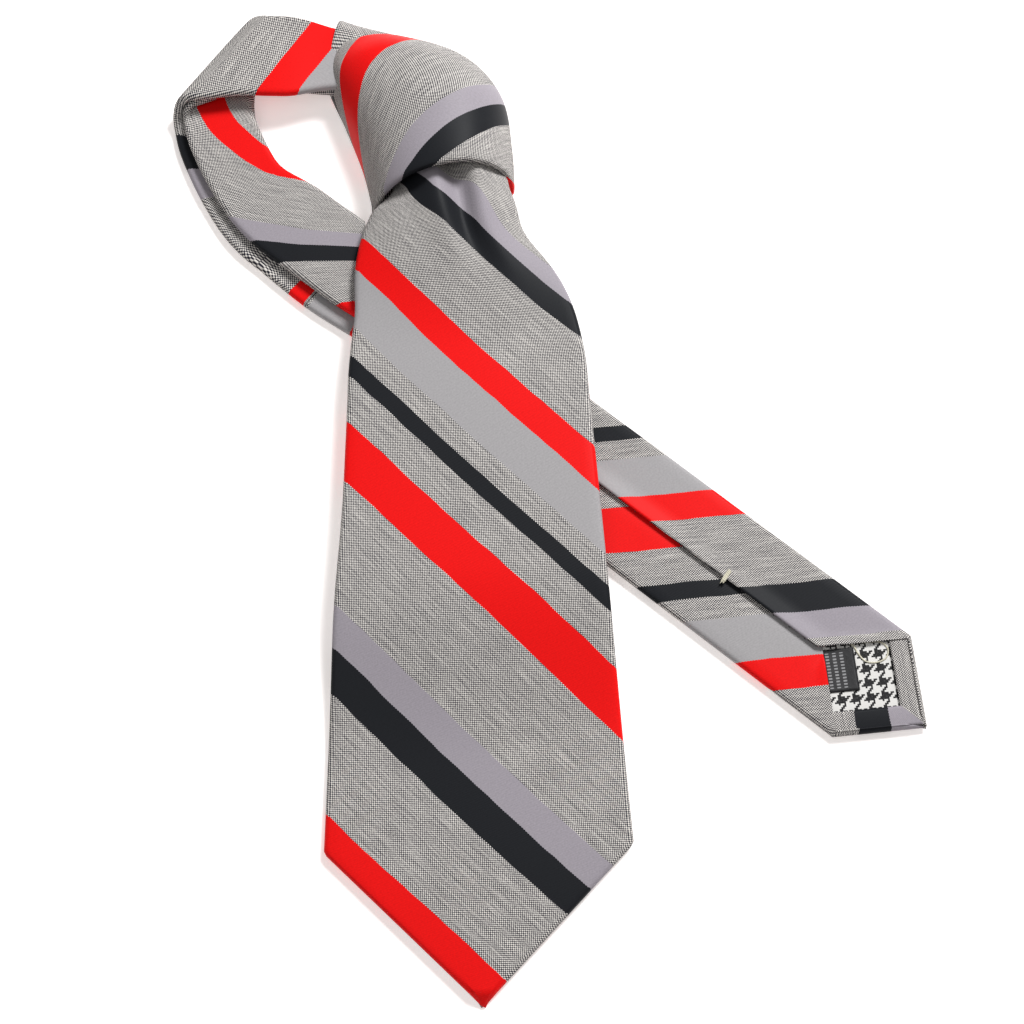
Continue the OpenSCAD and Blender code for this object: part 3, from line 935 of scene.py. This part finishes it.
tail_tack_angle = math.radians(90 - TAIL_ANGLE - 45 + 50)
tail_tack = bar_tack("tail_tack", at(*tail_to_layout(-0.8, 76), STRAP_T + 1.2), tail_tack_angle,
                     5 * MM, 1.0 * MM, 6)
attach(tail_tack, "tail")
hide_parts("tail_bar_tack")

seam_stitches = []
stitch_y = TAIL_SEAM_Y + 6
while stitch_y < tail_run * 0.85:
    low = at(*tail_to_layout(-1.5, stitch_y), STRAP_T - 0.05)
    high = at(*tail_to_layout(-0.3, stitch_y + 1.2), STRAP_T + 0.25)
    seam_stitches.append((low, high))
    stitch_y += 6
tail_stitches = sew_stitches("tail_seam_stitches", seam_stitches, 0.14 * MM, dark_thread)
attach(tail_stitches, "tail")
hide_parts("tail_slip_stitching")


# ---- Strap inside the knot
# The tail's strap goes on up through the middle of the knot, where it can be drawn to and fro.
def core_line(t):
    y = lerp(256, 303, t)
    return [((x + TAIL_AXIS_X, y, STRAP_T + 1.8 + lift), cloth + y, y - cloth)
            for x, lift, cloth in section_of_tie(13, STRAP_T - 0.1, -1, -1)]


core_strap = lay_cloth("tail_core_cloth", 24, core_line)
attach(core_strap, "tail_core")
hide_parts("tail_in_knot")


# ---- Neck loop
# The neck piece is one doubled strap: its two legs lie back to back, leave the knot at its upper left,
# fold under on a slant at the left, and run down to the right under the front blade.
NECK_W = 31
LAYER = STRAP_T + 0.2
NECK_END_X = -30.5
neck_crease = Vector((-87.5, 297.2))
neck_heading = math.radians(52)
neck_axis_z = 2 * LAYER - 0.1


def unfolded(x, y, radius):
    """Where a point of the lower leg lies before the fold at the left, in the upper leg's plane."""
    along = Vector((math.cos(neck_heading), math.sin(neck_heading)))
    beyond = Vector((-along.y, along.x))
    spot = Vector((x, y))
    past = (spot - neck_crease).dot(beyond)
    return spot - beyond * (2 * past) + beyond * math.pi * radius


def knot_sag(run):
    """How far the legs sink beside the knot, run millimetres from it."""
    return 1.6 * (1 - ease(run / 26))


def leg_lines(upper, lower, radius, width_at, phase, face_side, steps=10):
    """Rows of one leg, whose centre line goes through the upper points and the unfolded lower ones."""
    centre = smooth_route(list(upper) + [tuple(unfolded(x, y, radius)) for x, y in lower], steps)
    centre = [Vector((p[0], p[1])) for p in centre]
    runs = [0.0]
    for a, b in zip(centre, centre[1:]):
        runs.append(runs[-1] + (b - a).length)

    def line(t):
        spot = t * (len(centre) - 1)
        i = min(int(spot), len(centre) - 2)
        f = spot - i
        middle = centre[i].lerp(centre[i + 1], f)
        ahead = centre[min(i + 2, len(centre) - 1)] - centre[max(i - 1, 0)]
        ahead.normalize()
        side = Vector((-ahead.y, ahead.x))
        run = lerp(runs[i], runs[i + 1], f)
        width = width_at(run, run - runs[len(upper) * steps])
        points = []
        for x, lift, cloth in section_of_tie(width / 2, STRAP_T, -1.0, -1.5, crown=0.1, over=0.0, under=0.3):
            flat = middle + side * x
            ripple = 0.16 * noise.noise(Vector((flat.x * 0.06, flat.y * 0.06, 11.0 + radius)))
            point = fold_over(flat.x, flat.y, face_side * (lift + ripple), neck_crease, neck_heading,
                              radius, neck_axis_z, 1)
            reach = min(point[0], NECK_END_X) if run > 90 else point[0]
            points.append(((reach, point[1], max(point[2] - knot_sag(run), 0.02)),
                           *phase(run - runs[len(upper) * steps], cloth, middle + side * cloth)))
        return points
    return line


UPPER_LEG = [(-37, 312.6), (-49, 313.6), (-61, 314), (-73, 314.4)]
INNER_LOWER = [(-79.5, 297), (-76, 283), (-67, 266), (-52.5, 252.5), (-40, 242), (-31, 234.5), (-20, 226.5)]
OUTER_LOWER = [(-82, 297), (-78.5, 283), (-69, 263.5), (-54, 248.5), (-41, 236.5), (-31, 229), (-20, 221.5)]


def outer_phase(past_fold, cloth, flat):
    along = Vector((math.cos(neck_heading), math.sin(neck_heading)))
    past = (flat - neck_crease).dot(Vector((-along.y, along.x)))
    up = (flat - neck_crease).dot(along)
    shown = 12 * ease(up / 32) * ease(past / 2.5)
    shown += 45 * ease((past_fold - 74.5) / 1.5) - 12 * ease((past_fold - 45) / 20)
    return (0.687 * flat.y - flat.x - 60.6 + shown, 0.687 * flat.x + flat.y)


def inner_phase(past_fold, cloth, flat):
    a = (past_fold + 44 - 75) / 10
    b = -cloth / 10 - 0.2 * (1 - ease((past_fold - 40) / 20))
    if past_fold < -10:
        return (flat.y - flat.x + 155, flat.x + flat.y)
    phase = 111.4 - 11 * a + 21.4 * b - 0.6 * a * a + 1.4 * b * b
    return (min(phase, 158), 12.7 * a + 6.4 * b)


outer_line = leg_lines(
    UPPER_LEG, OUTER_LOWER, 1.5 * LAYER,
    lambda run, past: (NECK_W - 8 * (1 - ease(run / 20))
                       - 4 * ease((past + 14) / 10) * (1 - ease((past - 30) / 20))), outer_phase, 1)
outer_leg = lay_cloth("neck_outer_leg", 150, outer_line)
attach(outer_leg, "knot_and_loop")
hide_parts("neck_upper_outer_leg", "neck_turn_outer", "neck_lower_outer_leg")

inner_line = leg_lines(
    UPPER_LEG, INNER_LOWER, 0.5 * LAYER,
    lambda run, past: NECK_W - 7 + 5.5 * ease((past - 26) / 26), inner_phase, -1)
inner_leg = lay_cloth("neck_inner_leg", 150, inner_line, gather=0.75)
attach(inner_leg, "knot_and_loop")
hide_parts("neck_upper_inner_leg", "neck_turn_inner", "neck_lower_inner_leg")


def end_fold_line(t):
    """The middle of the neck, where one leg turns back as the other under the front blade."""
    points = []
    for x, lift, cloth in section_of_tie(12, STRAP_T - 0.2, -1, -1):
        point = fold_over(-34 + 9 * t, 0, lift, Vector((-32, 0)), math.radians(-90), 0.5 * LAYER,
                          LAYER - 0.1, 1)
        points.append(((point[0], 227 + x, max(point[2], 0.03)), cloth + 20 * t, 20 * t - cloth))
    return points


end_fold = lay_cloth("neck_end_cloth", 40, end_fold_line)
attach(end_fold, "knot_and_loop")
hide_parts("neck_end_fold")


# ---- Knot
# The band of the four-in-hand goes once across the front and round behind: its lower edge is rolled
# under over the front blade, and its upper edge is drawn down to the left.
KNOT_LEFT = [(-27, 255.5), (-30.5, 273), (-36.5, 291), (-42.5, 307), (-42, 318)]
KNOT_RIGHT = [(18.8, 264), (18.4, 280), (16, 297), (6, 311), (-14, 321)]
KNOT_RISE = [(23.5, 0), (24.5, 0), (24, 0), (20, 0), (13, 0)]
KNOT_FOOT = 0.8
KNOT_HANG = 0.18
knot_left = smooth_route(KNOT_LEFT, 24)
knot_right = smooth_route(KNOT_RIGHT, 24)
knot_rise = smooth_route(KNOT_RISE, 24)


def along_route(route, t):
    spot = max(0.0, min(1.0, t)) * (len(route) - 1)
    i = min(int(spot), len(route) - 2)
    return route[i].lerp(route[i + 1], spot - i)


def knot_phase(a, t):
    """Stripe phase round the band: a runs from -0.5 at its left foot to 0.5 at its right."""
    edge = 9 * ease((a - 0.36) / 0.14) * (1 - ease(t / 0.3))
    return (edge + 45.8 - 81.3 * a + 105 * t + 12.6 * a * a + 36.8 * a * t - 8.8 * t * t
            - 103 * a ** 3 + 95 * a * a * t)


def knot_line(s):
    """One turn round the knot. s runs from inside the lower edge, out round it, up, and in at the top."""
    tuck = 0.10
    if s < tuck:
        turn = s / tuck
        t = 0.2 * (1 - turn) if turn < 0.6 else 0.08 * ease((1 - turn) / 0.4)
        shrink = 2.6 * (1 - ease((turn - 0.6) / 0.4)) if turn >= 0.6 else 2.6
    elif s > 1 - tuck:
        turn = (s - 1 + tuck) / tuck
        t = 1 - 0.08 * ease(turn)
        shrink = 2.4 * ease(turn * 2)
    else:
        t = (s - tuck) / (1 - 2 * tuck)
        shrink = 0.9 * (1 - ease(t / 0.03)) + 0.9 * ease((t - 0.96) / 0.04)
    left = along_route(knot_left, t)
    right = along_route(knot_right, t)
    rise = along_route(knot_rise, t)[0]
    middle = (left + right) / 2
    half = (right - left) / 2
    reach = 1 - shrink / half.length
    points = []
    arch, base = 56, 18
    for i in range(arch + base + 1):
        if i <= arch:
            angle = math.pi * i / arch
            z = KNOT_FOOT + (rise - shrink - KNOT_FOOT) * math.sin(angle) ** 0.85
            spot = middle - half * math.cos(angle) * reach
            a = i / arch - 0.5
        else:
            f = (i - arch) / base
            z = KNOT_FOOT - 0.5 * math.sin(math.pi * f) + (shrink * 0.4)
            spot = middle + half * reach * (1 - 2 * f)
            a = 0.5 + 0.6 * f
        swell = math.sin(math.pi * min(i / arch, 1))
        z += 0.5 * noise.noise(Vector((spot.x * 0.07, spot.y * 0.07, 5.0))) * swell
        y = spot.y + KNOT_HANG * (z - KNOT_FOOT) * (1 - t)
        across = knot_phase(a, t)
        points.append(((spot.x, y, max(z, 0.03)), across, 78 * a + 65 * t))
    return points


knot_band = lay_cloth("knot_band", 110, knot_line, thick=0.7, gather=0.75)
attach(knot_band, "knot_and_loop")
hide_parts("knot_front_band", "knot_back_band")


def top_fold_line(t):
    front = Vector((-41.5, 314.5, 10.5)).lerp(Vector((-12, 312, 12)), t)
    crest = Vector((-38.5, 327.5, 12.6)).lerp(Vector((-9, 317, 12.6)), t)
    back = Vector((-36.5, 331, 3.0)).lerp(Vector((-6, 318.5, 3.0)), t)
    points = []
    for i in range(21):
        s = i / 20
        spot = front * (1 - s) ** 2 + crest * 2.0 * s * (1 - s) + back * s * s
        spot = spot.lerp(crest, 0.35 * math.sin(math.pi * s))
        spot.z += 0.5 * math.sin(9 * t + 4 * s) * math.sin(math.pi * s)
        points.append((tuple(spot), 84 + 30 * t + 14 * s, 30 * t - 14 * s))
    return points


top_fold = lay_cloth("knot_top_fold_cloth", 40, top_fold_line, thick=0.8, offset=0.0)
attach(top_fold, "knot_and_loop")
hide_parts("knot_top_fold")


# ---- Inside the neck piece
# Wool runs inside each leg. One short strip, in the leg beside the knot, stands for all of it here.
# A bias seam joins the neck piece to the tail piece.
def neck_wool_lines(t):
    points = []
    route = [Vector((-45, 313.5)), Vector((-68, 315))]
    spot = route[0].lerp(route[1], t)
    for i in range(9):
        x = 10 * (i / 4 - 1)
        points.append(((spot.x, spot.y + x, 3.5 * LAYER - 0.1 - knot_sag(-37 - spot.x)), x, t))
    return points


neck_wool = lay_cloth("neck_interlining_wool", 24, neck_wool_lines, material=wool, thick=0.8, offset=0.0)
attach(neck_wool, "knot_and_loop")
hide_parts("neck_interlinings")

join_stitches = []
for i in range(8):
    spot = Vector((-58 + 1.9 * i, 307 + 1.9 * i, 2 * LAYER - 0.12))
    join_stitches.append((at(*(spot - Vector((0.5, 0.5, 0)))), at(*(spot + Vector((0.5, 0.5, 0))))))
joining_seam = sew_stitches("neck_joining_stitches", join_stitches, 0.16 * MM, dark_thread)
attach(joining_seam, "knot_and_loop")
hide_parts("neck_joining_seam")
